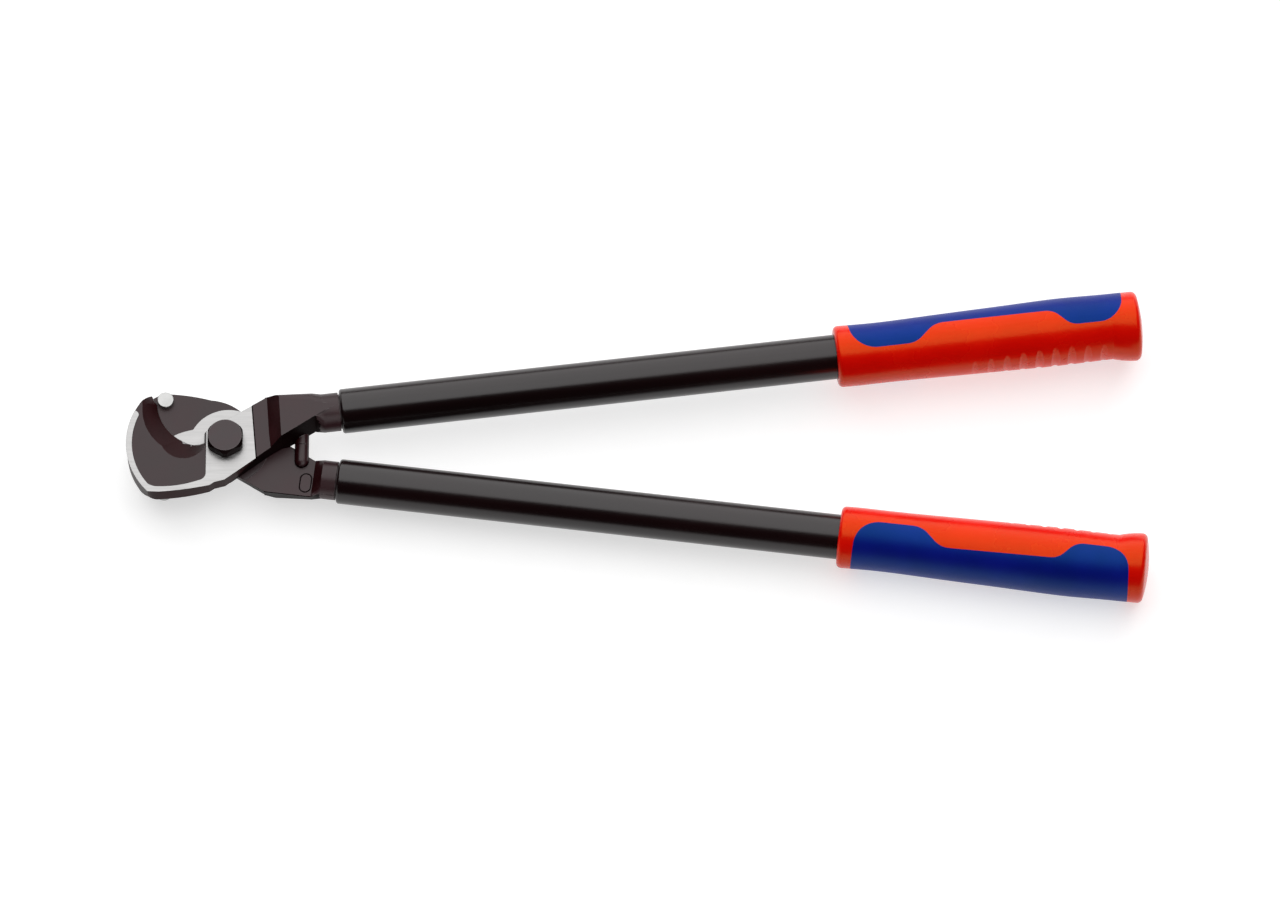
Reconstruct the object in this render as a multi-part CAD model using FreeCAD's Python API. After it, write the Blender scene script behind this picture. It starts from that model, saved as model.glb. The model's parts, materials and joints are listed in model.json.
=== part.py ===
"""Two-hand cable shears, 500 mm long, closed.

The model is drawn about the pivot: the blades slide on each other in the plane z = 0, the pivot
axis is +Z through the origin, the jaws point to -X and the handles to +X. The front blade lies on
the +Z side of that plane and carries the upper handle, on the +Y side. The rear lever is the front
one turned half a turn about X, and both come from the same functions. Three things differ: the rear
blade keeps a fuller heel, its jaw corner is cut off straighter, and the tubes and grips start at
slightly different distances. At the end the whole tool is moved so that the origin is the middle of
its footprint.
"""
import FreeCAD
import Part
import math
import os

V = FreeCAD.Vector

# ---- blades ----
PLATE = 7.5                      # ground thickness of a blade at the pivot
FORGED = 8.0                     # thickness where the forging is not ground
RECESS_FLOOR = 7.0               # level of the sunk field in the jaw's outer face
RELIEF = 0.3                     # how far the mating face is relieved outside its lands
BORE_R = 6.05                    # pivot bore in the front blade
HUB_LAND = (V(1.2, 0, 0), 19.6)  # ground land around the pivot on the mating face
JAW_CENTRE = V(-11.4, -0.9, 0)   # centre of the jaw's round back
JAW_R = 37.3
RIM_WIDTH = 2.9                  # ground rim along the jaw's back
EDGE_CENTRE = V(-10.2, 24.0, 0)  # the cutting edge is an arc about this point, at z = 0
EDGE_R = 23.7
BEVEL = (V(-16.4, 16.9, 7.0), 24.6)      # the bevel runs out in this arc
BEVEL_END = -15.5                # where the tighter curve at the jaw's root takes over
SCOOP = ((V(-15.3, 10.5, 0), 9.7), (V(-20.5, 2.2, 7.0), 11.7))
HONE = 0.25                      # width taken off by the steeper honed edge
HONE_HEAD = (V(-12.2, 21.4, 7.0), 25.1)
EDGE_LAND_R = 33.5               # back of the ground land behind the cutting edge
HUB_WALL_X = -9.4                # the hub stands up behind this line
HUB_WALL_DRAFT = 0.17            # its wall leans out by this much per millimetre of depth
LEAD_IN = ((-29.8, -1.54), (-37.4, -0.66))   # x and its change with height, at the line's two ends
LEAD_IN_Y = (15.0, 28.0)
GROUND_EDGE = (19.4, 8.8)        # the hub's ground face ends on this line, x at GROUND_REACH each side
GROUND_REACH = 60.0
GROUND_SLOPE = 1.2               # the step there leans by this much per millimetre of height

# ---- handle line, seen along Z ----
HANDLE_ANGLE = 6.93              # degrees from +X
HANDLE_INTERCEPT = 10.6          # where the handle line crosses the Y axis
HANDLE_OFFSET = 3.0              # height of the handle line above the mating plane

# ---- arm, measured along the handle line (s), across it (t) and from its height ----
COLLAR_R = 9.5
COLLAR_START = 47.8
COLLAR_GAP = 0.6                 # from the collar's end to the tube's mouth
PAD_END = 43.4                   # the flat inner face of the arm stops here
PAD_EDGE = 11.15                 # its outer edge
PAD_CHAMFER = 0.6
RAMP = ((20.9, FORGED), (26.9, HANDLE_OFFSET + COLLAR_R))   # step up to the arm's thick part, x and z
RAMP_SLANT = 4.0                 # degrees by which the step leans off square
FINGER_X = 37.2                  # closing stop: a round bar on the inner side of each arm
FINGER_R = 3.5
FINGER_ROOT_Y = 8.0
STOP_GAP = 0.1                   # from each stop face to the middle plane
MARK_DEPTH = 0.5                 # oval ring stamped into the arm's flat inner face

# ---- tang, tube and grip ----
TANG_R = 8.48
TANG_END = 116.0
TUBE_R = 11.0
TUBE_BORE_R = 8.5
UPPER_TUBE_START = 56.5
LOWER_TUBE_START = 55.5
TUBE_END = 441.0
TUBE_CHAMFER = 1.4
CROSS_PIN_R = 2.48
CROSS_PIN_S = 84.0
UPPER_GRIP_START = 301.2
LOWER_GRIP_START = 302.3
GRIP_LENGTH = 151.8
INLAY_DEPTH = 1.6
# distance from the grip's front, half width on the outer and on the inner side, half height
GRIP_FORM = (
    (0.0, 15.1, 15.1, 15.2),
    (19.0, 14.5, 15.4, 15.2),
    (38.0, 14.8, 15.5, 15.4),
    (57.0, 15.3, 15.8, 15.8),
    (76.0, 15.7, 16.1, 16.1),
    (95.0, 16.2, 16.4, 16.4),
    (114.0, 16.5, 16.5, 16.6),
    (136.0, 16.0, 16.2, 16.4),
)
LIP_START = 136.0                # the inner side flares out to the lip over the last stretch
LIP_FORM = ((16.0, 16.2, 16.4), (15.8, 18.0, 17.4), (15.7, 18.3, 17.4))
DOME_R = 70.0                    # the end is slightly domed
GROOVES = 9
GROOVE_PITCH = 8.03
GROOVE_FIRST = 67.0              # from the front of the grip
GROOVE_DEPTH = 0.95
GROOVE_R = 3.0
GROOVE_SHIFT = 6.7               # how far the grooves' centre lies off the handle line
GROOVE_SIDE = 16.4               # half width of the grip where the grooves are
# plan of the inlay: distance from the grip's front, across the handle line, corner radius
INLAY_PLAN = (
    (8.2, -3.9, 13.0),
    (39.6, -3.9, 11.0),
    (49.8, 5.7, 11.0),
    (107.6, 5.0, 9.0),
    (115.8, -3.9, 9.0),
    (141.2, -3.9, 12.0),
)

# ---- pivot hardware (M10) ----
HEAD_AF = 17.0
HEAD_HEIGHT = 6.4
HEAD_CORNER_R = 9.3              # the head's corners are turned off to this radius
BOLT_R = 5.0
BUSH_R = 6.0
FACE_GAP = 0.05                  # running gap under the bolt head
SPRING_HEIGHT = 1.3
SPRING_SHEET = 0.9
WASHER_R = 10.0
WASHER_SHEET = 1.0
NUT_HEIGHT = 8.0
NUT_COLLAR = 1.8
STOP_PIN = V(-30.0, -24.1, 0)
STOP_PIN_R = 4.05
STOP_PIN_HEIGHT = 2.4
STOP_SHANK_R = 2.5
STOP_SHANK_DEPTH = 4.5

Z_UP = V(0, 0, 1)
ALONG = V(1, 0, 0)


def polar(centre, radius, degrees, z):
    """Point at an angle on a circle lying flat at height z."""
    angle = math.radians(degrees)
    return V(centre.x + radius * math.cos(angle), centre.y + radius * math.sin(angle), z)


def arc(first, middle, last):
    return Part.Arc(first, middle, last).toShape()


def lines(points):
    """Straight edges through the points in turn."""
    return [Part.makeLine(a, b) for a, b in zip(points, points[1:])]


def prism(points, direction):
    """Solid swept from a closed polygon."""
    return Part.Face(Part.makePolygon(points + points[:1])).extrude(direction)


def ruled(*wires):
    """Solid with straight sides between wires that have matching edges."""
    return Part.makeLoft(list(wires), True, True)


def on_handle(s, t, z):
    """Point s along the handle line, t to its outer side, at height z."""
    angle = math.radians(HANDLE_ANGLE)
    x = s * math.cos(angle) - t * math.sin(angle)
    y = HANDLE_INTERCEPT + s * math.sin(angle) + t * math.cos(angle)
    return V(x, y, z)


def to_handle(shape):
    """Move a shape drawn along +X onto the handle line."""
    shape.rotate(V(0, 0, 0), Z_UP, HANDLE_ANGLE)
    shape.translate(V(0, HANDLE_INTERCEPT, HANDLE_OFFSET))
    return shape


def turned_over(shape):
    """The same shape on the rear lever."""
    copy = shape.copy()
    copy.rotate(V(0, 0, 0), ALONG, 180)
    return copy


# ---- blade ----

def inner_wall(s, z):
    """Where the wall on the arm's inner side stands, with its small draft."""
    slope = 0.58
    draft = 0.07
    return -29.04 + slope * s + draft * (z - PLATE)


def plate_outline(z, full_heel):
    """Edge of the blade from jaw tip to hub; the walls lean in towards the outer face."""
    low = 1 - z / FORGED
    skirt = 1.1 * low
    neck = 2.2 * low
    tip = polar(JAW_CENTRE, JAW_R + 0.4 * low, 130, z)
    side = polar(JAW_CENTRE, JAW_R - 0.2 * low, 180, z)
    if full_heel:
        corner = polar(JAW_CENTRE, JAW_R - 0.5 * low, 212, z)
        turn = V(-37.3, -24.0 - 0.9 * skirt, z)
        belly = V(-31.3, -27.2 - skirt, z)
    else:
        corner = polar(JAW_CENTRE, JAW_R - 0.5 * low, 225, z)
        turn = V(-35.2, -27.3 - 0.8 * skirt, z)
        belly = V(-32.2, -27.4 - skirt, z)
    wall_end = on_handle(25.0, inner_wall(25.0, z), z)
    shoulder = V(19.4 - 0.3 * neck, 22.5 + 0.6 * neck, z)
    throat = V(HUB_WALL_X - 0.5 * neck, 4.8 + 0.86 * neck, z)
    edges = [arc(tip, side, corner), arc(corner, turn, belly)]
    edges += heel_edges(belly, skirt, full_heel)
    edges += lines([edges[-1].Vertexes[-1].Point, wall_end, V(26, 22, z), shoulder, throat, tip])
    return Part.Wire(edges)


def heel_edges(belly, skirt, full_heel):
    """From the jaw's belly round the heel to the arm's inner wall; full, or trimmed short."""
    z = belly.z
    if full_heel:
        heel = V(-7.5, -24.3 - 0.5 * skirt, z)
        turn = V(7.2, -18.1 - 0.5 * skirt, z)
        wall = on_handle(11.6, inner_wall(11.6, z), z)
        return [arc(belly, V(-19.7, -26.3 - skirt, z), heel),
                arc(heel, V(0.8, -22.2 - 0.5 * skirt, z), turn), Part.makeLine(turn, wall)]
    heel = V(-7.5, -23.9 - 0.5 * skirt, z)
    notch = V(-5.2, -22.3 - 0.5 * skirt, z)
    wall = on_handle(-3.86, inner_wall(-3.86, z), z)
    return [arc(belly, V(-19.7, -26.1 - skirt, z), heel)] + lines([heel, notch, wall])


def arm_section(s, wall_top, wall_foot, flat_edge, shoulder_r):
    """Cross-section of the arm: flat pad below, flat face above, a round shoulder outside."""
    centre = V(s, flat_edge, COLLAR_R - shoulder_r)
    pad = -HANDLE_OFFSET
    rim = V(s, PAD_EDGE - PAD_CHAMFER, pad)
    foot = V(s, PAD_EDGE, pad + PAD_CHAMFER)
    reach = foot.sub(centre)
    lean = math.atan2(reach.z, reach.y) + math.acos(shoulder_r / reach.Length)
    touch = centre.add(V(0, math.cos(lean), math.sin(lean)).multiply(shoulder_r))
    half = 0.5 * (lean + 0.5 * math.pi)
    middle = centre.add(V(0, math.cos(half), math.sin(half)).multiply(shoulder_r))
    crest = V(s, flat_edge, COLLAR_R)
    edges = lines([V(s, wall_foot, pad), rim, foot, touch])
    edges.append(arc(touch, middle, crest))
    edges += lines([crest, V(s, wall_top, COLLAR_R), V(s, wall_foot, pad)])
    return Part.Wire(edges)


def collar_section(s):
    """The collar's circle, split where the arm's edges run into it."""
    stations = [(-155, -26), (-26, -22), (-22, 10), (10, 90), (90, 125), (125, 205)]
    edges = []
    for start, end in stations:
        points = []
        for degrees in (start, 0.5 * (start + end), end):
            angle = math.radians(degrees)
            points.append(V(s, COLLAR_R * math.cos(angle), COLLAR_R * math.sin(angle)))
        edges.append(arc(*points))
    return Part.Wire(edges)


def arm(collar_end):
    """The thick arm, its taper into the round collar, and the tang that the tube slides on."""
    top = HANDLE_OFFSET + COLLAR_R
    root = arm_section(20.3, inner_wall(20.3, top), inner_wall(20.3, 0), 7.1, 2.0)
    knee = arm_section(26.2, inner_wall(26.2, top), inner_wall(26.2, 0) - 0.6, 7.1, 2.0)
    waist = arm_section(30.0, -11.6, -14.6, 6.2, 2.9)
    bend = arm_section(33.6, -9.9, -12.9, 5.4, 3.8)
    end = arm_section(PAD_END, -4.9, -8.2, 3.2, 6.1)
    body = ruled(root, knee).fuse([ruled(knee, waist), ruled(waist, bend), ruled(bend, end)])
    body = body.fuse(ruled(end, collar_section(COLLAR_START)))
    tip = V(collar_end - 1.0, 0, COLLAR_R)
    crest_face = [V(PAD_END, -4.9, COLLAR_R), V(PAD_END, 3.2, COLLAR_R), tip]
    keel = V(COLLAR_START, 0, 0)
    wedge = Part.makeSolid(Part.makeShell([
        Part.Face(Part.makePolygon(crest_face + crest_face[:1])),
        Part.Face(Part.makePolygon([crest_face[0], crest_face[1], keel, crest_face[0]])),
        Part.Face(Part.makePolygon([crest_face[1], tip, keel, crest_face[1]])),
        Part.Face(Part.makePolygon([tip, crest_face[0], keel, tip])),
    ]))
    collar = Part.makeCylinder(COLLAR_R, collar_end - COLLAR_START, V(COLLAR_START, 0, 0), ALONG)
    tang = Part.makeCylinder(TANG_R, TANG_END - COLLAR_START, V(COLLAR_START, 0, 0), ALONG)
    tang_end = [edge for edge in tang.Edges if edge.BoundBox.XMin > TANG_END - 1]
    tang = tang.makeChamfer(1.5, tang_end)
    return to_handle(body.fuse([wedge, collar, tang]))


def ramp_cutter():
    """Everything above the thin part of the arm, up to the slope that climbs to the thick part."""
    (foot_x, foot_z), (head_x, head_z) = RAMP
    slope = (head_z - foot_z) / (head_x - foot_x)
    high = 30.0
    points = [V(-60, -60, foot_z), V(foot_x, -60, foot_z)]
    points.append(V(foot_x + (high - foot_z) / slope, -60, high))
    points.append(V(-60, -60, high))
    cutter = prism(points, V(0, 120, 0))
    cutter.rotate(V(foot_x, 8.5, 0), Z_UP, RAMP_SLANT)
    return cutter


def leaning_cone(foot, head):
    """Cone through the circle `foot` at z = 0 and `head` above, run on a little at both ends."""
    (foot_centre, foot_r), (head_centre, head_r) = foot, head
    slope = head_centre.sub(foot_centre).multiply(1 / head_centre.z)
    growth = (head_r - foot_r) / head_centre.z
    rings = []
    for z in (-1.0, 9.0):
        centre = V(foot_centre.x + slope.x * z, foot_centre.y + slope.y * z, z)
        rings.append(Part.Wire(Part.makeCircle(foot_r + growth * z, centre, Z_UP)))
    return ruled(*rings)


def front_of(x, draft=0.0):
    """Block on the jaw's side of a wall that stands at x on the plate's outer face."""
    top = 10.0
    low = x - draft * PLATE
    high = x + draft * (top - PLATE)
    points = [V(-90, -50, 0), V(low, -50, 0), V(high, -50, top), V(-90, -50, top)]
    return prism(points, V(0, 120, 0))


def bevel_cutters():
    """Everything inside the cutting edge: the bevel, its honed edge and the jaw's root."""
    bevel = leaning_cone((EDGE_CENTRE, EDGE_R), BEVEL)
    hone = leaning_cone((EDGE_CENTRE, EDGE_R + HONE), HONE_HEAD)
    root = leaning_cone(*SCOOP)
    mouth = Part.makeBox(HUB_WALL_X - BEVEL_END + 5, 50, 20, V(BEVEL_END - 5, 10, -5))
    hub_side = front_of(HUB_WALL_X, HUB_WALL_DRAFT)
    blade_side = front_of(BEVEL_END)
    return [bevel.common(blade_side), hone.common(blade_side), root.common(hub_side),
            mouth.common(hub_side)]


def lead_in_cutter():
    """Lets the cutting edge run outwards over its last few millimetres to the tip."""
    rings = []
    near, far = LEAD_IN_Y
    clear_x = -20
    for z in (-1.0, 9.0):
        low, high = [x + change * z for x, change in LEAD_IN]
        ring = [V(low, near, z), V(high, far, z), V(clear_x, far, z), V(clear_x, near, z)]
        rings.append(Part.makePolygon(ring + ring[:1]))
    return ruled(*rings)


def recess_cutter():
    """Sunk field in the jaw's outer face, inside the ground rim."""
    z = RECESS_FLOOR
    inner = JAW_R - RIM_WIDTH
    top = polar(JAW_CENTRE, inner, 155.5, z)
    corner = polar(JAW_CENTRE, inner, 220, z)
    belly = V(-32.5, -24.6, z)
    edges = [arc(top, polar(JAW_CENTRE, inner, 185, z), corner)]
    edges.append(arc(corner, V(-35.4, -24.2, z), belly))
    hub_foot = V(HUB_WALL_X, -17, z)
    edges.append(arc(belly, V(-22, -23.8, z), V(-12.5, -21.2, z)))
    edges.append(arc(V(-12.5, -21.2, z), V(-10.2, -19.8, z), hub_foot))
    outside = V(-60, 20, z)
    edges += lines([hub_foot, V(HUB_WALL_X, 40, z), V(-60, 40, z), outside])
    rim_end = V(-45.8, 16.0, z)
    edges.append(Part.makeLine(outside, rim_end))
    edges.append(arc(rim_end, V(-43.3, 15.2, z), top))
    return Part.Face(Part.Wire(edges)).extrude(V(0, 0, 5))


def ground_cutter():
    """The hub's outer face is ground a little below the forged skin, as far as a straight step."""
    rings = []
    for rise in (0.0, 5.0):
        near, far = [x + GROUND_SLOPE * rise for x in GROUND_EDGE]
        z = PLATE + rise
        ring = [V(-60, -GROUND_REACH, z), V(near, -GROUND_REACH, z), V(far, GROUND_REACH, z)]
        ring.append(V(-60, GROUND_REACH, z))
        rings.append(Part.makePolygon(ring + ring[:1]))
    return ruled(*rings)


def relief_cutter():
    """Thin slab off the mating face, outside the hub's land and the cutting edge's land."""
    slab = Part.makeBox(160, 100, RELIEF, V(-60, -50, 0))
    hub = Part.makeCylinder(HUB_LAND[1], RELIEF, HUB_LAND[0])
    land = Part.makeCylinder(EDGE_LAND_R, RELIEF, EDGE_CENTRE)
    beyond = Part.makeBox(80, 100, RELIEF, V(0, -50, 0))
    return slab.cut(hub).cut(land.cut(beyond))


def finger():
    """Closing stop: a bar with a rounded root, half of it standing out of the pad."""
    start = V(FINGER_X, STOP_GAP, 0)
    bar = Part.makeCylinder(FINGER_R, FINGER_ROOT_Y - STOP_GAP, start, V(0, 1, 0))
    root = Part.makeSphere(FINGER_R, V(FINGER_X, FINGER_ROOT_Y, 0))
    return bar.fuse(root)


def forging_mark():
    """Plain oval ring stamped lightly into the pad."""
    def oval(half_width, half_length):
        body = Part.makeBox(2 * half_width, 2 * (half_length - half_width), MARK_DEPTH,
                            V(-half_width, half_width - half_length, 0))
        for side in (-1, 1):
            end = V(0, side * (half_length - half_width), 0)
            body = body.fuse(Part.makeCylinder(half_width, MARK_DEPTH, end))
        return body
    ring = oval(3.05, 5.2).cut(oval(2.45, 4.6))
    ring.rotate(V(0, 0, 0), Z_UP, HANDLE_ANGLE)
    ring.translate(V(39.2, 19.4, RELIEF))
    return ring


def blade(bore_r, cross_pin_side, full_heel, tube_start):
    """One forged lever, drawn as the front one."""
    plate = ruled(plate_outline(0, full_heel), plate_outline(FORGED, full_heel))
    body = plate.fuse(arm(tube_start - COLLAR_GAP)).removeSplitter()
    to_clear = [ramp_cutter(), recess_cutter(), lead_in_cutter(), ground_cutter(), below_pad()]
    to_clear += [relief_cutter(), Part.makeCylinder(bore_r, 60, V(0, 0, -30))]
    for cutter in to_clear + bevel_cutters():
        body = body.cut(cutter)
    body = body.fuse(finger()).cut(forging_mark())
    body = body.cut(stop_pin_hole()).cut(cross_pin(cross_pin_side, 0.02))
    return body.removeSplitter()


def below_pad():
    """Clears what the collar's taper would leave under the pad."""
    slab = Part.makeBox(PAD_END + 60, 100, 20, V(-60, -50, -20 - HANDLE_OFFSET))
    return to_handle(slab)


def stop_pin_hole():
    return Part.makeCylinder(STOP_SHANK_R, STOP_SHANK_DEPTH + RELIEF, STOP_PIN)


def stop_pin():
    """Round stop pressed into the mating face near the jaw's back."""
    head = Part.makeCylinder(STOP_PIN_R, STOP_PIN_HEIGHT + RELIEF, V(0, 0, -STOP_PIN_HEIGHT))
    rim = [edge for edge in head.Edges if edge.BoundBox.ZMax < -STOP_PIN_HEIGHT + 0.1]
    head = head.makeFillet(0.5, rim)
    shank = Part.makeCylinder(STOP_SHANK_R, STOP_SHANK_DEPTH, V(0, 0, 0))
    pin = head.fuse(shank).removeSplitter()
    pin.translate(STOP_PIN)
    return pin


# ---- handles ----

def tube(start):
    """Aluminium tube pushed over the tang, its mouth turned down to a soft edge."""
    length = TUBE_END - start
    body = Part.makeCylinder(TUBE_R, length, V(start, 0, 0), ALONG)
    mouth = [edge for edge in body.Edges if edge.BoundBox.XMax < start + 1]
    body = body.makeFillet(TUBE_CHAMFER, mouth)
    body = body.cut(Part.makeCylinder(TUBE_BORE_R, length, V(start, 0, 0), ALONG))
    return to_handle(body)


def cross_pin(side, clearance=0.0):
    """Spring pin through one wall of the tube into the tang, on the +Z or -Z side."""
    length = TUBE_R + 3.9
    start = V(CROSS_PIN_S, 0, side * (TUBE_R - 0.1))
    pin = Part.makeCylinder(CROSS_PIN_R + clearance, length, start, V(0, 0, -side))
    return to_handle(pin)


def split_pin(side):
    """The spring pin itself: a rolled tube with a slot."""
    pin = cross_pin(side)
    axis = on_handle(CROSS_PIN_S, 0, 0)
    pin = pin.cut(Part.makeCylinder(1.5, 60, V(axis.x, axis.y, -30)))
    return pin.cut(Part.makeBox(4, 0.8, 60, V(axis.x, axis.y - 0.4, -30)))


def tube_plug():
    """Plastic plug that closes the tube's end inside the grip."""
    body = Part.makeCylinder(TUBE_BORE_R - 0.02, 14, V(TUBE_END - 14, 0, 0), ALONG)
    flange = Part.makeCylinder(TUBE_R, 2, V(TUBE_END, 0, 0), ALONG)
    hollow = Part.makeCylinder(TUBE_BORE_R - 2, 12, V(TUBE_END - 14, 0, 0), ALONG)
    return to_handle(body.fuse(flange).cut(hollow).removeSplitter())


def grip_ring(s, outer, inner, half_height):
    """Oval cross-section of the grip, drawn from half a width to each side."""
    half_width = 0.5 * (outer + inner)
    ring = Part.Ellipse(V(0, 0, 0), max(half_width, half_height) + 0.001,
                        min(half_width, half_height)).toShape()
    ring.rotate(V(0, 0, 0), Z_UP, 90 if half_height >= half_width else 0)
    ring.rotate(V(0, 0, 0), V(1, 1, 1), 120)
    ring.translate(V(s, 0.5 * (outer - inner), 0))
    return Part.Wire(ring)


def grip_form(inset):
    """Outer form of the grip, or of what lies a given depth under its skin."""
    rings = [grip_ring(s, *[size - inset for size in sizes]) for s, *sizes in GRIP_FORM]
    flare = []
    for s, sizes in zip((LIP_START, 0.5 * (LIP_START + GRIP_LENGTH), GRIP_LENGTH), LIP_FORM):
        flare.append(grip_ring(s, *[size - inset for size in sizes]))
    return Part.makeLoft(rings, True, False).fuse(Part.makeLoft(flare, True, False))


def rounded(points):
    """Edges of a closed outline, each corner rounded to its own radius (0 leaves it sharp)."""
    edges = []
    ends = []
    for index, (corner, radius) in enumerate(points):
        before = points[index - 1][0].sub(corner).normalize()
        after = points[(index + 1) % len(points)][0].sub(corner).normalize()
        half = 0.5 * before.getAngle(after)
        reach = radius / math.tan(half)
        first = corner.add(before.multiply(reach))
        last = corner.add(after.multiply(reach))
        if radius > 0:
            towards = first.add(last).multiply(0.5).sub(corner).normalize()
            middle = corner.add(towards.multiply(radius / math.sin(half) - radius))
            edges.append(arc(first, middle, last))
        ends.append((first, last))
    for index, (first, last) in enumerate(ends):
        edges.append(Part.makeLine(ends[index - 1][1], first))
    return edges


def inlay_outline():
    """Plan of the soft zone: wide near both ends, narrow in the middle, open to the outer side."""
    points = [(V(s, t, 0), radius) for s, t, radius in INLAY_PLAN]
    far = 30
    points.append((V(144.4, far, 0), 0))
    points.append((V(6.4, far, 0), 0))
    return Part.Wire(Part.sortEdges(rounded(points))[0])


def groove(s):
    """Ring cutter set off-centre, so that it bites only on the grip's inner side."""
    reach = GROOVE_SIDE - GROOVE_DEPTH + GROOVE_SHIFT + GROOVE_R
    return Part.makeTorus(reach, GROOVE_R, V(s, GROOVE_SHIFT, 0), ALONG)


def end_cap():
    """What lies beyond the grip's slightly domed end."""
    centre = V(GRIP_LENGTH - DOME_R, 0, 0)
    dome = Part.makeSphere(DOME_R, centre)
    dome.rotate(centre, Z_UP, 180)
    return Part.makeCylinder(40, 20, V(GRIP_LENGTH - 12, 0, 0), ALONG).cut(dome)


def grip_parts(start):
    """Hard red grip and the soft inlay moulded into its outer side."""
    form = grip_form(0).cut(end_cap())
    rim = [edge for edge in form.Edges if edge.BoundBox.XMin > GRIP_LENGTH - 4]
    form = form.makeFillet(2.8, rim)
    front = [edge for edge in form.Edges if edge.BoundBox.XMax < 0.5]
    form = form.makeFillet(2.4, front)
    core = Part.makeCylinder(TUBE_R, TUBE_END + 2 - start, V(0, 0, 0), ALONG)
    zone = Part.Face(inlay_outline()).extrude(V(0, 0, 60))
    zone.translate(V(0, 0, -30))
    inlay = form.common(zone).cut(grip_form(INLAY_DEPTH))
    body = form.cut([core, inlay])
    for index in range(GROOVES):
        body = body.cut(groove(GROOVE_FIRST + index * GROOVE_PITCH))
    for shape in (body, inlay):
        shape.translate(V(start, 0, 0))
    return to_handle(body), to_handle(inlay)


# ---- pivot hardware ----

def hexagon(across_flats, height, z, start_angle):
    """Hexagonal prism standing on height z."""
    radius = across_flats / math.sqrt(3)
    corners = [polar(V(0, 0, 0), radius, start_angle + 60 * index, z) for index in range(6)]
    return prism(corners, V(0, 0, height))


def chamfered(body, radius, outer_z, direction, degrees):
    """Turn the corners off a hexagon with a cone that falls by the given angle."""
    run = 6.0
    fall = run * math.tan(math.radians(degrees))
    base = V(0, 0, outer_z)
    cone = Part.makeCone(radius, radius + run, fall, base, V(0, 0, -direction))
    rest = Part.makeCylinder(radius + run, 30, base.add(V(0, 0, -direction * fall)),
                             V(0, 0, -direction))
    return body.common(cone.fuse(rest))


def pivot_bolt():
    """M10 hexagon bolt, head on the front blade, thread out of the back."""
    base = PLATE + FACE_GAP
    head = hexagon(HEAD_AF, HEAD_HEIGHT, base, 30)
    head = head.common(Part.makeCylinder(HEAD_CORNER_R, HEAD_HEIGHT, V(0, 0, base)))
    head = chamfered(head, 8.2, base + HEAD_HEIGHT, 1, 65)
    length = base - bolt_end()
    shank = Part.makeCylinder(BOLT_R, length, V(0, 0, bolt_end()))
    end = [edge for edge in shank.Edges if edge.BoundBox.ZMax < bolt_end() + 0.1]
    return head.fuse(shank.makeChamfer(1.0, end)).removeSplitter()


def bolt_end():
    return nut_face() - NUT_HEIGHT - NUT_COLLAR - 0.2


def nut_face():
    return -PLATE - SPRING_HEIGHT - WASHER_SHEET


def pivot_bush():
    """Bearing sleeve pressed into the rear blade; the front blade turns on it."""
    top = PLATE - 0.2
    sleeve = Part.makeCylinder(BUSH_R, 2 * top, V(0, 0, -top))
    return sleeve.cut(Part.makeCylinder(BOLT_R + 0.02, 2 * top, V(0, 0, -top)))


def disc_spring():
    """Shallow cone that keeps the blades pressed together."""
    inner = BOLT_R + 0.2
    rise = SPRING_HEIGHT - SPRING_SHEET
    points = [V(inner, 0, -SPRING_HEIGHT), V(WASHER_R, 0, -SPRING_HEIGHT + rise)]
    points += [V(WASHER_R, 0, 0), V(inner, 0, -rise)]
    ring = Part.Face(Part.makePolygon(points + points[:1])).revolve(V(0, 0, 0), Z_UP, 360)
    ring.translate(V(0, 0, -PLATE))
    return ring


def pivot_washer():
    z = nut_face()
    ring = Part.makeCylinder(WASHER_R, WASHER_SHEET, V(0, 0, z))
    return ring.cut(Part.makeCylinder(BOLT_R + 0.25, WASHER_SHEET, V(0, 0, z)))


def pivot_nut():
    """Self-locking nut: hexagon and the round collar that holds the locking ring."""
    foot = nut_face() - NUT_HEIGHT
    body = hexagon(HEAD_AF, NUT_HEIGHT, foot, 0)
    body = chamfered(body, 8.2, foot, -1, 30)
    body = body.fuse(Part.makeCylinder(7.2, NUT_COLLAR, V(0, 0, foot - NUT_COLLAR)))
    rim = [edge for edge in body.Edges if edge.BoundBox.ZMax < foot - NUT_COLLAR + 0.1]
    body = body.makeFillet(0.9, rim)
    seat = Part.makeCylinder(6.4, NUT_COLLAR, V(0, 0, foot - NUT_COLLAR + 0.5))
    bore = Part.makeCylinder(BOLT_R, 40, V(0, 0, -40 + nut_face()))
    return body.cut([seat, bore]).removeSplitter()


def locking_ring():
    """Nylon ring in the nut's collar."""
    foot = nut_face() - NUT_HEIGHT - NUT_COLLAR + 0.5
    ring = Part.makeCylinder(6.38, NUT_COLLAR - 0.02, V(0, 0, foot))
    return ring.cut(Part.makeCylinder(BOLT_R, NUT_COLLAR, V(0, 0, foot)))


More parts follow.
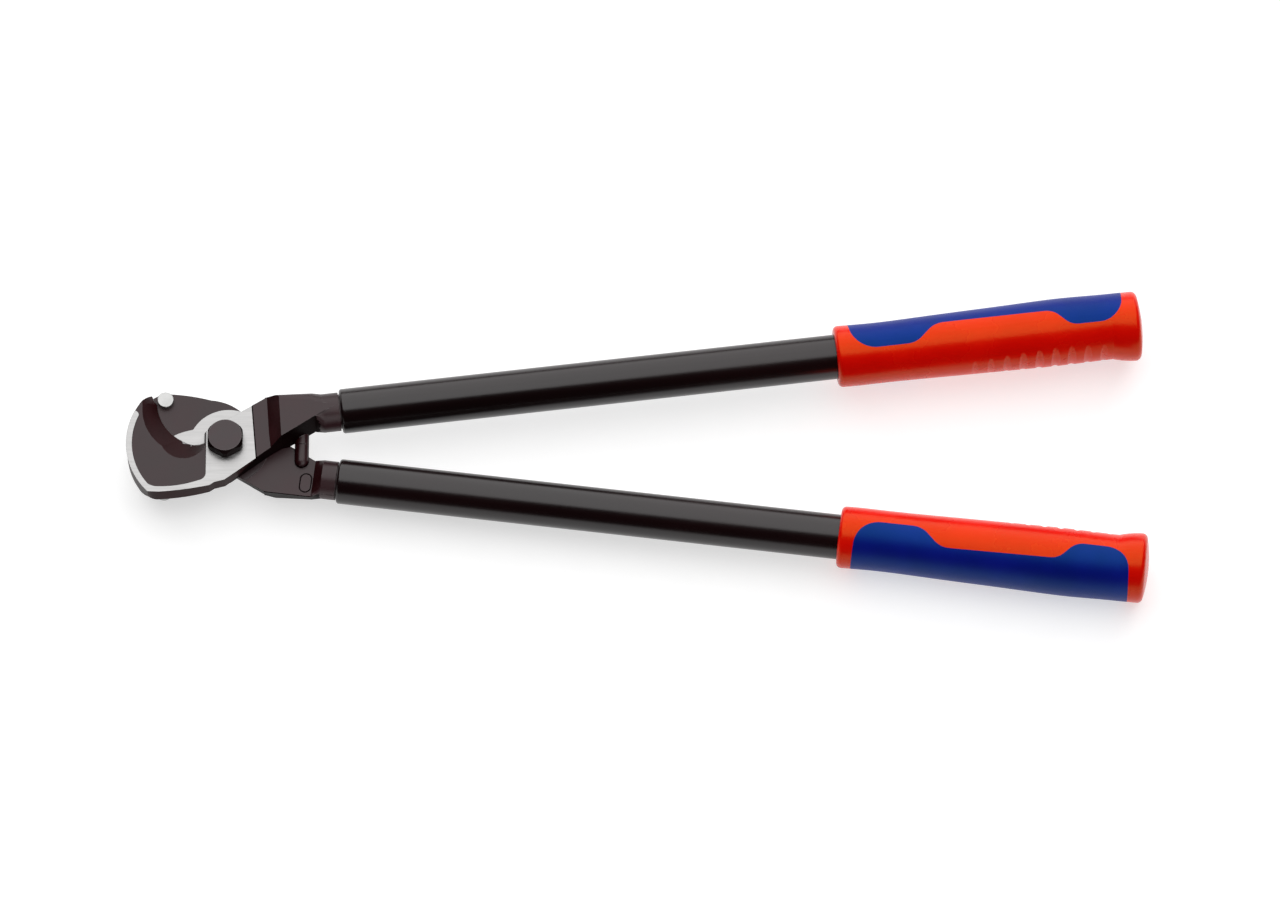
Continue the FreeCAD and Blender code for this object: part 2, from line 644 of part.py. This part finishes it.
def build():
    """Every node by name, still about the pivot."""
    nodes = {}
    nodes["front_blade"] = blade(BORE_R, -1, False, UPPER_TUBE_START)
    nodes["rear_blade"] = turned_over(blade(BUSH_R, 1, True, LOWER_TUBE_START))
    nodes["pivot_bolt"] = pivot_bolt()
    nodes["pivot_bush"] = pivot_bush()
    nodes["disc_spring"] = disc_spring()
    nodes["pivot_washer"] = pivot_washer()
    nodes["pivot_nut"] = pivot_nut()
    nodes["nut_locking_ring"] = locking_ring()
    nodes["front_stop_pin"] = stop_pin()
    nodes["rear_stop_pin"] = turned_over(stop_pin())
    nodes["upper_tang_pin"] = split_pin(-1)
    nodes["lower_tang_pin"] = turned_over(split_pin(1))
    nodes["upper_tube"] = tube(UPPER_TUBE_START).cut(cross_pin(-1, 0.02))
    nodes["lower_tube"] = turned_over(tube(LOWER_TUBE_START).cut(cross_pin(1, 0.02)))
    nodes["upper_tube_plug"] = tube_plug()
    nodes["lower_tube_plug"] = turned_over(tube_plug())
    nodes["upper_grip"], nodes["upper_grip_inlay"] = grip_parts(UPPER_GRIP_START)
    body, inlay = grip_parts(LOWER_GRIP_START)
    nodes["lower_grip"] = turned_over(body)
    nodes["lower_grip_inlay"] = turned_over(inlay)
    return nodes


def write(nodes):
    """Move the tool onto its origin and write one file per node."""
    box = Part.makeCompound(list(nodes.values())).optimalBoundingBox()
    shift = V(-0.5 * (box.XMin + box.XMax), 0, -box.ZMin)
    os.makedirs("parts", exist_ok=True)
    for name, shape in nodes.items():
        shape.translate(shift)
        shape.exportStep(os.path.join("parts", name + ".step"))
        print(name, len(shape.Solids), shape.isValid(), round(shape.Volume, 1))
    print("pivot at", round(shift.x, 3), round(shift.y, 3), round(shift.z, 3))
    print("size", round(box.XLength, 2), round(box.YLength, 2), round(box.ZLength, 2))


write(build())
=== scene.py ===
"""Two-hand cable shears, closed, on a pale studio table."""
import json
import math
import bpy
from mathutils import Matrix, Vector

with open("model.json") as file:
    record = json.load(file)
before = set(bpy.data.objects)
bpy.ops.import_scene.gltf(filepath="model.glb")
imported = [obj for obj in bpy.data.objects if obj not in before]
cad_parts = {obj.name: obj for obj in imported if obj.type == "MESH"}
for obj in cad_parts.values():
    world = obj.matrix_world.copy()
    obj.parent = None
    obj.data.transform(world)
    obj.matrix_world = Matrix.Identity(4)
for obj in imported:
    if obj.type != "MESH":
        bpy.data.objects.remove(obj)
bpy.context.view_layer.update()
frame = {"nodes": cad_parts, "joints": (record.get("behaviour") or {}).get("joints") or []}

MM = 0.001
PIVOT = Vector(frame["joints"][0]["pos_m"])


# ---- camera and studio ----

CAMERA_ELEVATION = 66.0          # degrees above the table, looking along +Y
CAMERA_DISTANCE = 5.0
FRAME_WIDTH = 0.6272             # how much of the table's width the picture takes in
TARGET = PIVOT + Vector((202.9, -1.9, 0)) * MM
TABLE_HALF = 6.0
WORLD_STRENGTH = 0.03
# azimuth, elevation, distance, size and power of each light
OVERHEAD = (180, 60, 2.2, (4.0, 5.0), 130)
METAL_FILL = (30, 32, 2.6, (3.0, 2.0), 36)
METAL_HEAD = ("front_blade", "rear_blade", "pivot_bolt", "pivot_nut", "pivot_washer", "disc_spring",
              "front_stop_pin", "rear_stop_pin", "upper_tang_pin", "lower_tang_pin")


def make_camera():
    data = bpy.data.cameras.new("camera")
    data.sensor_width = 36.0
    data.lens = data.sensor_width * CAMERA_DISTANCE / FRAME_WIDTH
    data.clip_end = 50.0
    camera = bpy.data.objects.new("camera", data)
    bpy.context.collection.objects.link(camera)
    tilt = math.radians(CAMERA_ELEVATION)
    back = Vector((0, -math.cos(tilt), math.sin(tilt)))
    camera.location = TARGET + back * CAMERA_DISTANCE
    camera.rotation_euler = (math.radians(90) - tilt, 0, 0)
    bpy.context.scene.camera = camera


def softbox(name, azimuth, elevation, distance, size, power):
    """Area light that looks at the tool. Azimuth 0 stands on the camera's side."""
    data = bpy.data.lights.new(name, "AREA")
    data.shape = "RECTANGLE"
    data.size, data.size_y = size
    data.energy = power
    lamp = bpy.data.objects.new(name, data)
    bpy.context.collection.objects.link(lamp)
    turn, tilt = math.radians(azimuth), math.radians(elevation)
    level = math.cos(tilt)
    away = Vector((math.sin(turn) * level, -math.cos(turn) * level, math.sin(tilt)))
    lamp.location = TARGET + away * distance
    lamp.rotation_mode = "QUATERNION"
    lamp.rotation_quaternion = away.to_track_quat("Z", "Y")
    return lamp


def make_studio():
    mesh = bpy.data.meshes.new("table")
    half = TABLE_HALF
    corners = [(-half, -half, 0), (half, -half, 0), (half, half, 0), (-half, half, 0)]
    mesh.from_pydata(corners, [], [(0, 1, 2, 3)])
    table = bpy.data.objects.new("table", mesh)
    bpy.context.collection.objects.link(table)
    table.data.materials.append(table_material())
    softbox("overhead", *OVERHEAD)
    # the front light falls on the metal head only, so that the tubes keep their dark band
    fill = softbox("metal_fill", *METAL_FILL)
    lit_by_fill = bpy.data.collections.new("lit_by_fill")
    for node in METAL_HEAD:
        lit_by_fill.objects.link(frame["nodes"][node])
    fill.light_linking.receiver_collection = lit_by_fill
    world = bpy.data.worlds.new("studio")
    world.use_nodes = True
    background = world.node_tree.nodes["Background"]
    background.inputs["Color"].default_value = (1.0, 1.0, 1.0, 1.0)
    background.inputs["Strength"].default_value = WORLD_STRENGTH
    bpy.context.scene.world = world
    bpy.context.scene.view_settings.view_transform = "Standard"


# ---- materials ----

BEVEL_SAMPLES = 6
SHARP = (0.995, 0.90)            # cosine between true and rounded normal: flat, sharp edge


class Shader:
    """A node material under construction."""

    def __init__(self, name):
        self.material = bpy.data.materials.new(name)
        self.material.use_nodes = True
        self.tree = self.material.node_tree
        self.bsdf = self.tree.nodes["Principled BSDF"]
        self.place = self.add("ShaderNodeTexCoord").outputs["Object"]

    def add(self, kind, **values):
        node = self.tree.nodes.new(kind)
        for key, value in values.items():
            setattr(node, key, value)
        return node

    def link(self, source, target):
        self.tree.links.new(source, target)

    def set(self, **values):
        for key, value in values.items():
            self.bsdf.inputs[key.replace("_", " ")].default_value = value

    def noise(self, scale, detail=3.0, stretch=None, distortion=0.0):
        """Noise value; stretch scales the pattern along X, Y and Z."""
        place = self.place
        if stretch is not None:
            mapping = self.add("ShaderNodeMapping")
            mapping.inputs["Scale"].default_value = stretch
            self.link(place, mapping.inputs["Vector"])
            place = mapping.outputs["Vector"]
        node = self.add("ShaderNodeTexNoise")
        node.inputs["Scale"].default_value = scale
        node.inputs["Detail"].default_value = detail
        node.inputs["Distortion"].default_value = distortion
        self.link(place, node.inputs["Vector"])
        return node.outputs["Fac"]

    def ramp(self, value, low, high, dark=0.0, light=1.0):
        """Spread value from low..high to dark..light."""
        node = self.add("ShaderNodeMapRange")
        node.inputs["From Min"].default_value = low
        node.inputs["From Max"].default_value = high
        node.inputs["To Min"].default_value = dark
        node.inputs["To Max"].default_value = light
        self.link(value, node.inputs["Value"])
        return node.outputs["Result"]

    def blend(self, fac, first, second):
        """Colour between two colours or sockets."""
        node = self.add("ShaderNodeMix", data_type="RGBA")
        self.link(fac, node.inputs[0])
        for socket, value in ((node.inputs[6], first), (node.inputs[7], second)):
            if isinstance(value, tuple):
                socket.default_value = (*value, 1.0)
            else:
                self.link(value, socket)
        return node.outputs[2]

    def maths(self, operation, first, second):
        node = self.add("ShaderNodeMath", operation=operation)
        for socket, value in zip(node.inputs, (first, second)):
            if isinstance(value, (int, float)):
                socket.default_value = value
            else:
                self.link(value, socket)
        return node.outputs[0]

    def edges(self, radius):
        """1 along edges sharper than the bevel radius can follow, 0 on flats."""
        bevel = self.add("ShaderNodeBevel", samples=BEVEL_SAMPLES)
        bevel.inputs["Radius"].default_value = radius
        geometry = self.add("ShaderNodeNewGeometry")
        dot = self.add("ShaderNodeVectorMath", operation="DOT_PRODUCT")
        self.link(bevel.outputs["Normal"], dot.inputs[0])
        self.link(geometry.outputs["Normal"], dot.inputs[1])
        return self.ramp(dot.outputs["Value"], *SHARP)

    def bump(self, height, strength, distance, rounding=0.0):
        """Surface relief, on top of slightly rounded edges where rounding is given."""
        node = self.add("ShaderNodeBump")
        node.inputs["Strength"].default_value = strength
        node.inputs["Distance"].default_value = distance
        self.link(height, node.inputs["Height"])
        if rounding:
            bevel = self.add("ShaderNodeBevel", samples=BEVEL_SAMPLES)
            bevel.inputs["Radius"].default_value = rounding
            self.link(bevel.outputs["Normal"], node.inputs["Normal"])
        self.link(node.outputs["Normal"], self.bsdf.inputs["Normal"])

    def base(self, colour):
        self.link(colour, self.bsdf.inputs["Base Color"])

    def roughness(self, value):
        self.link(value, self.bsdf.inputs["Roughness"])


def table_material():
    shade = Shader("lit_table")
    grain = shade.noise(60, 4)
    shade.base(shade.blend(grain, (0.50, 0.50, 0.50), (0.54, 0.54, 0.54)))
    shade.set(Roughness=0.8, Emission_Color=(1.0, 1.0, 1.0, 1.0), Emission_Strength=0.62)
    return shade.material


def forged_steel():
    """Blackened forging: fine blasted grain, brighter and smoother where edges rub."""
    shade = Shader("forged_steel")
    patches = shade.noise(55, 4)
    grain = shade.noise(2600, 2)
    spots = shade.ramp(shade.noise(420, 3), 0.42, 0.62)
    wear = shade.maths("MULTIPLY", shade.edges(0.0005), spots)
    skin = shade.blend(shade.ramp(patches, 0.35, 0.65),
                       (0.012, 0.0003, 0.0016), (0.019, 0.0010, 0.0034))
    shade.base(shade.blend(wear, skin, (0.085, 0.070, 0.072)))
    rough = shade.ramp(patches, 0.3, 0.7, 0.34, 0.42)
    shade.roughness(shade.maths("SUBTRACT", rough, shade.maths("MULTIPLY", wear, 0.12)))
    shade.bump(grain, 0.25, 0.00006, 0.0004)
    shade.set(Specular_IOR_Level=0.42)
    return shade.material


LAP_LIMIT = (0.011, 0.013)       # metres from the pivot: painted shade darkens a lap face from here on


def ground_steel(name, shaded_side=0):
    """Bright ground face with fine grinding marks. On a lap face, beyond a slanting line towards
    the lever's own arm, the colour turns dark and non-metallic: painted shade where the other
    lever's arm keeps the light off; the given side (+1 or -1) says which way it slants."""
    shade = Shader(name)
    marks = shade.noise(900, 4, stretch=(0.05, 1.0, 1.0))
    cloud = shade.noise(70, 3)
    steel = shade.blend(shade.ramp(marks, 0.3, 0.7),
                        (0.305, 0.302, 0.300), (0.385, 0.380, 0.378))
    steel = shade.blend(shade.ramp(cloud, 0.35, 0.75, 0.0, 0.35), steel, (0.28, 0.275, 0.275))
    rough = shade.ramp(marks, 0.3, 0.7, 0.30, 0.42)
    if shaded_side:
        # painted shade: beyond the slanting line the lap face turns dark and non-metallic
        part = shade.add("ShaderNodeSeparateXYZ")
        shade.link(shade.place, part.inputs["Vector"])
        across = shade.maths("MULTIPLY", part.outputs["Y"], float(shaded_side))
        reach = shade.maths("ADD", shade.maths("SUBTRACT", part.outputs["X"], PIVOT.x), across)
        lap_shade = shade.ramp(reach, *LAP_LIMIT)
        steel = shade.blend(lap_shade, steel, (0.012, 0.0012, 0.0030))
        shade.link(shade.maths("SUBTRACT", 1.0, lap_shade), shade.bsdf.inputs["Metallic"])
    else:
        shade.set(Metallic=1.0)
    shade.base(steel)
    shade.roughness(rough)
    shade.bump(marks, 0.18, 0.00003, 0.0002)
    return shade.material


def shaded_steel(name, dark, light, level):
    """Painted shade: the black forging made darker and less glossy for faces where little light
    reaches: bevels, walls, steps, stamped groove.
    """
    shade = Shader(name)
    patches = shade.noise(70, 4)
    shade.base(shade.blend(shade.ramp(patches, 0.35, 0.65), dark, light))
    shade.roughness(shade.ramp(patches, 0.3, 0.7, 0.40, 0.50))
    shade.bump(shade.noise(1400, 3), 0.25, 0.00006)
    shade.set(Specular_IOR_Level=level)
    return shade.material


def plain_metal(name, dark, light, rough, metallic=1.0):
    """Small fastener or plug: clouded, finely grained, brighter where its edges rub."""
    shade = Shader(name)
    cloud = shade.noise(120, 3)
    grain = shade.noise(1500, 2)
    wear = shade.edges(0.0004)
    skin = shade.blend(shade.ramp(cloud, 0.35, 0.65), dark, light)
    bright = tuple(min(1.0, 0.25 + 2.0 * part) for part in light)
    shade.base(shade.blend(shade.maths("MULTIPLY", wear, 0.5), skin, bright))
    shade.roughness(shade.ramp(cloud, 0.3, 0.7, rough - 0.04, rough + 0.05))
    shade.bump(grain, 0.15, 0.00004, 0.0003)
    shade.set(Metallic=metallic)
    return shade.material


def coated_tube():
    """Satin dark coating on aluminium tube, faintly streaked along its length."""
    shade = Shader("coated_tube")
    cloud = shade.noise(35, 4, stretch=(0.25, 1.0, 1.0))
    grain = shade.noise(1800, 3)
    skin = shade.blend(shade.ramp(cloud, 0.35, 0.65),
                       (0.004, 0.0002, 0.0005), (0.007, 0.0004, 0.0009))
    spots = shade.ramp(shade.noise(300, 3), 0.45, 0.65)
    rubbed = shade.maths("MULTIPLY", shade.edges(0.0006), spots)
    shade.base(shade.blend(rubbed, skin, (0.060, 0.050, 0.050)))
    shade.roughness(shade.ramp(cloud, 0.3, 0.7, 0.21, 0.27))
    shade.bump(grain, 0.12, 0.00004)
    return shade.material


def grip_red():
    """Hard moulded plastic, satin, with a little cloudiness from handling."""
    shade = Shader("grip_red")
    cloud = shade.noise(40, 4)
    grain = shade.noise(2200, 2)
    shade.base(shade.blend(shade.ramp(cloud, 0.35, 0.65),
                           (0.73, 0.0012, 0.0004), (0.80, 0.0024, 0.0006)))
    shade.roughness(shade.ramp(cloud, 0.3, 0.7, 0.24, 0.31))
    shade.bump(grain, 0.10, 0.00005)
    shade.set(Specular_Tint=(1.0, 0.62, 0.12, 1.0))
    return shade.material


def grip_blue():
    """Soft elastomer with a fine eroded grain."""
    shade = Shader("grip_blue")
    cloud = shade.noise(45, 4)
    grain = shade.noise(3200, 3)
    shade.base(shade.blend(shade.ramp(cloud, 0.35, 0.65),
                           (0.0014, 0.0008, 0.160), (0.0028, 0.0018, 0.205)))
    shade.roughness(shade.ramp(grain, 0.3, 0.7, 0.40, 0.52))
    shade.bump(grain, 0.35, 0.00008)
    shade.set(Specular_Tint=(0.08, 0.58, 1.0, 1.0))
    return shade.material


def dress(node, material):
    obj = frame["nodes"][node]
    obj.data.materials.clear()
    obj.data.materials.append(material)


def dress_everything():
    forged = forged_steel()
    ground = ground_steel("ground_steel")
    # painted shade: two darker, less glossy copies of the forging for shaded faces of the blades
    # and the bolt head
    shaded = shaded_steel("shaded_steel", (0.011, 0.0008, 0.0013), (0.018, 0.0022, 0.0032), 0.13)
    darkest_shade = shaded_steel("deep_shaded_steel", (0.002, 0.0002, 0.0003), (0.004, 0.0006, 0.0008), 0.04)
    tube = coated_tube()
    red = grip_red()
    blue = grip_blue()
    black = plain_metal("black_bolt_steel", (0.013, 0.0016, 0.0035), (0.020, 0.0040, 0.0065),
                        0.40, metallic=0.0)
    bright = plain_metal("pin_steel", (0.33, 0.33, 0.325), (0.41, 0.41, 0.405), 0.30)
    bronze = plain_metal("bush_bronze", (0.50, 0.32, 0.12), (0.62, 0.42, 0.18), 0.35)
    spring = plain_metal("spring_steel", (0.20, 0.19, 0.18), (0.28, 0.27, 0.26), 0.35)
    zinc = plain_metal("washer_steel", (0.52, 0.53, 0.54), (0.64, 0.64, 0.65), 0.38)
    nylon = plain_metal("locking_nylon", (0.62, 0.62, 0.58), (0.70, 0.70, 0.66),
                        0.50, metallic=0.0)
    plug = plain_metal("plug_plastic", (0.02, 0.02, 0.02), (0.03, 0.03, 0.03), 0.55, metallic=0.0)
    for side in ("upper", "lower"):
        dress(side + "_tube", tube)
        dress(side + "_grip", red)
        dress(side + "_grip_inlay", blue)
        dress(side + "_tang_pin", spring)
        dress(side + "_tube_plug", plug)
    for side, turn in (("front", 1), ("rear", -1)):
        dress(side + "_stop_pin", bright)
        dress(side + "_blade", forged)
        lap = ground_steel("lap_steel_" + side, turn)
        finish_and_shade_blade(side + "_blade", turn, (ground, lap, shaded, darkest_shade))
    dress("pivot_bolt", black)
    paint_head_shade("pivot_bolt", darkest_shade)
    dress("pivot_nut", black)
    dress("pivot_bush", bronze)
    dress("disc_spring", spring)
    dress("pivot_washer", zinc)
    dress("nut_locking_ring", nylon)


# ---- which face of a blade has which finish, and where shade is painted ----

# heights above the mating plane
PLATE = 7.5 * MM
FORGED = 8.0 * MM
RECESS = 7.0 * MM
MARK = 0.8 * MM
HONE_TOP = 1.0 * MM
PAD_LIP = (0.25 * MM, 0.65 * MM)
NEAR = 0.02 * MM                 # two heights this close are the same
# distances from the pivot along X
HUB_WALL = -9.3 * MM
HUB_WALL_FOOT = 1.2 * HUB_WALL
ARM = 8.0 * MM                   # walls and steps beyond this belong to the arm
COLLAR = 46.0 * MM
# how steep a face is: the size of its normal's Z, or its X where a step faces the jaw
WALL = 0.35
BEVEL = (0.15, 0.97)
LIP = 0.9
FACES_JAW = -0.4
SQUARE_TO_JAW = -0.9
HEAD_SIDE = 0.7
# places in the list of a blade's materials, after the forging itself
# the last two places hold painted shade: darker, less glossy copies of the forging for faces little
# light reaches
FORGING, GROUND, LAPPED, SHADED, PAINTED_DEEP_SHADE = 0, 1, 2, 3, 4


def flat_finish_and_shade(height):
    """Finish of a face parallel to the mating plane; the floor of the stamped mark's groove gets
    painted deep shade.
    """
    for level, finish in ((PLATE, GROUND), (0.0, LAPPED), (MARK, PAINTED_DEEP_SHADE)):
        if abs(height - level) < NEAR:
            return finish
    return FORGING


def arm_finish_and_shade(place, normal, low, high):
    """Painted shade on a wall, a chamfered lip or a step on the arm; any other face keeps the
    forging.
    """
    steep = abs(normal.z)
    if steep < WALL and place.x < COLLAR:
        return PAINTED_DEEP_SHADE
    if low > PAD_LIP[0] and high < PAD_LIP[1] and steep < LIP:
        return PAINTED_DEEP_SHADE
    if normal.x < FACES_JAW:
        return PAINTED_DEEP_SHADE if low > PLATE - NEAR and high < FORGED + NEAR else SHADED
    return FORGING


def sloping_finish_and_shade(place, normal, low, high):
    """Finish of a bevel, a side wall or a step: the honed strip along the cutting edge is ground,
    while the rest of the bevel, the side walls, the steps and the hub wall get painted shade.
    """
    steep = abs(normal.z)
    if place.x < HUB_WALL and high < RECESS + NEAR and BEVEL[0] < steep < BEVEL[1]:
        return GROUND if high < HONE_TOP and low < NEAR else SHADED
    if place.x > ARM:
        return arm_finish_and_shade(place, normal, low, high)
    if normal.x < SQUARE_TO_JAW and place.x > HUB_WALL_FOOT:
        return PAINTED_DEEP_SHADE
    return SHADED if steep < WALL else FORGING


def finish_and_shade_blade(node, turn, finishes_and_shades):
    """Faces of a blade take the finish that their cut left, and painted shade where little light
    reaches. turn is -1 for the rear blade.
    """
    mesh = frame["nodes"][node].data
    for material in finishes_and_shades:
        mesh.materials.append(material)
    for face in mesh.polygons:
        heights = [turn * (mesh.vertices[index].co.z - PIVOT.z) for index in face.vertices]
        low, high = min(heights), max(heights)
        if high - low < NEAR:
            face.material_index = flat_finish_and_shade(low)
        else:
            face.material_index = sloping_finish_and_shade(face.center - PIVOT, face.normal, low, high)


def paint_head_shade(node, material):
    """Painted shade: the bolt head's sides and chamfer take a darker material than its top."""
    mesh = frame["nodes"][node].data
    mesh.materials.append(material)
    for face in mesh.polygons:
        if face.center.z > PIVOT.z + PLATE and abs(face.normal.z) < HEAD_SIDE:
            face.material_index = 1


make_camera()
make_studio()
dress_everything()
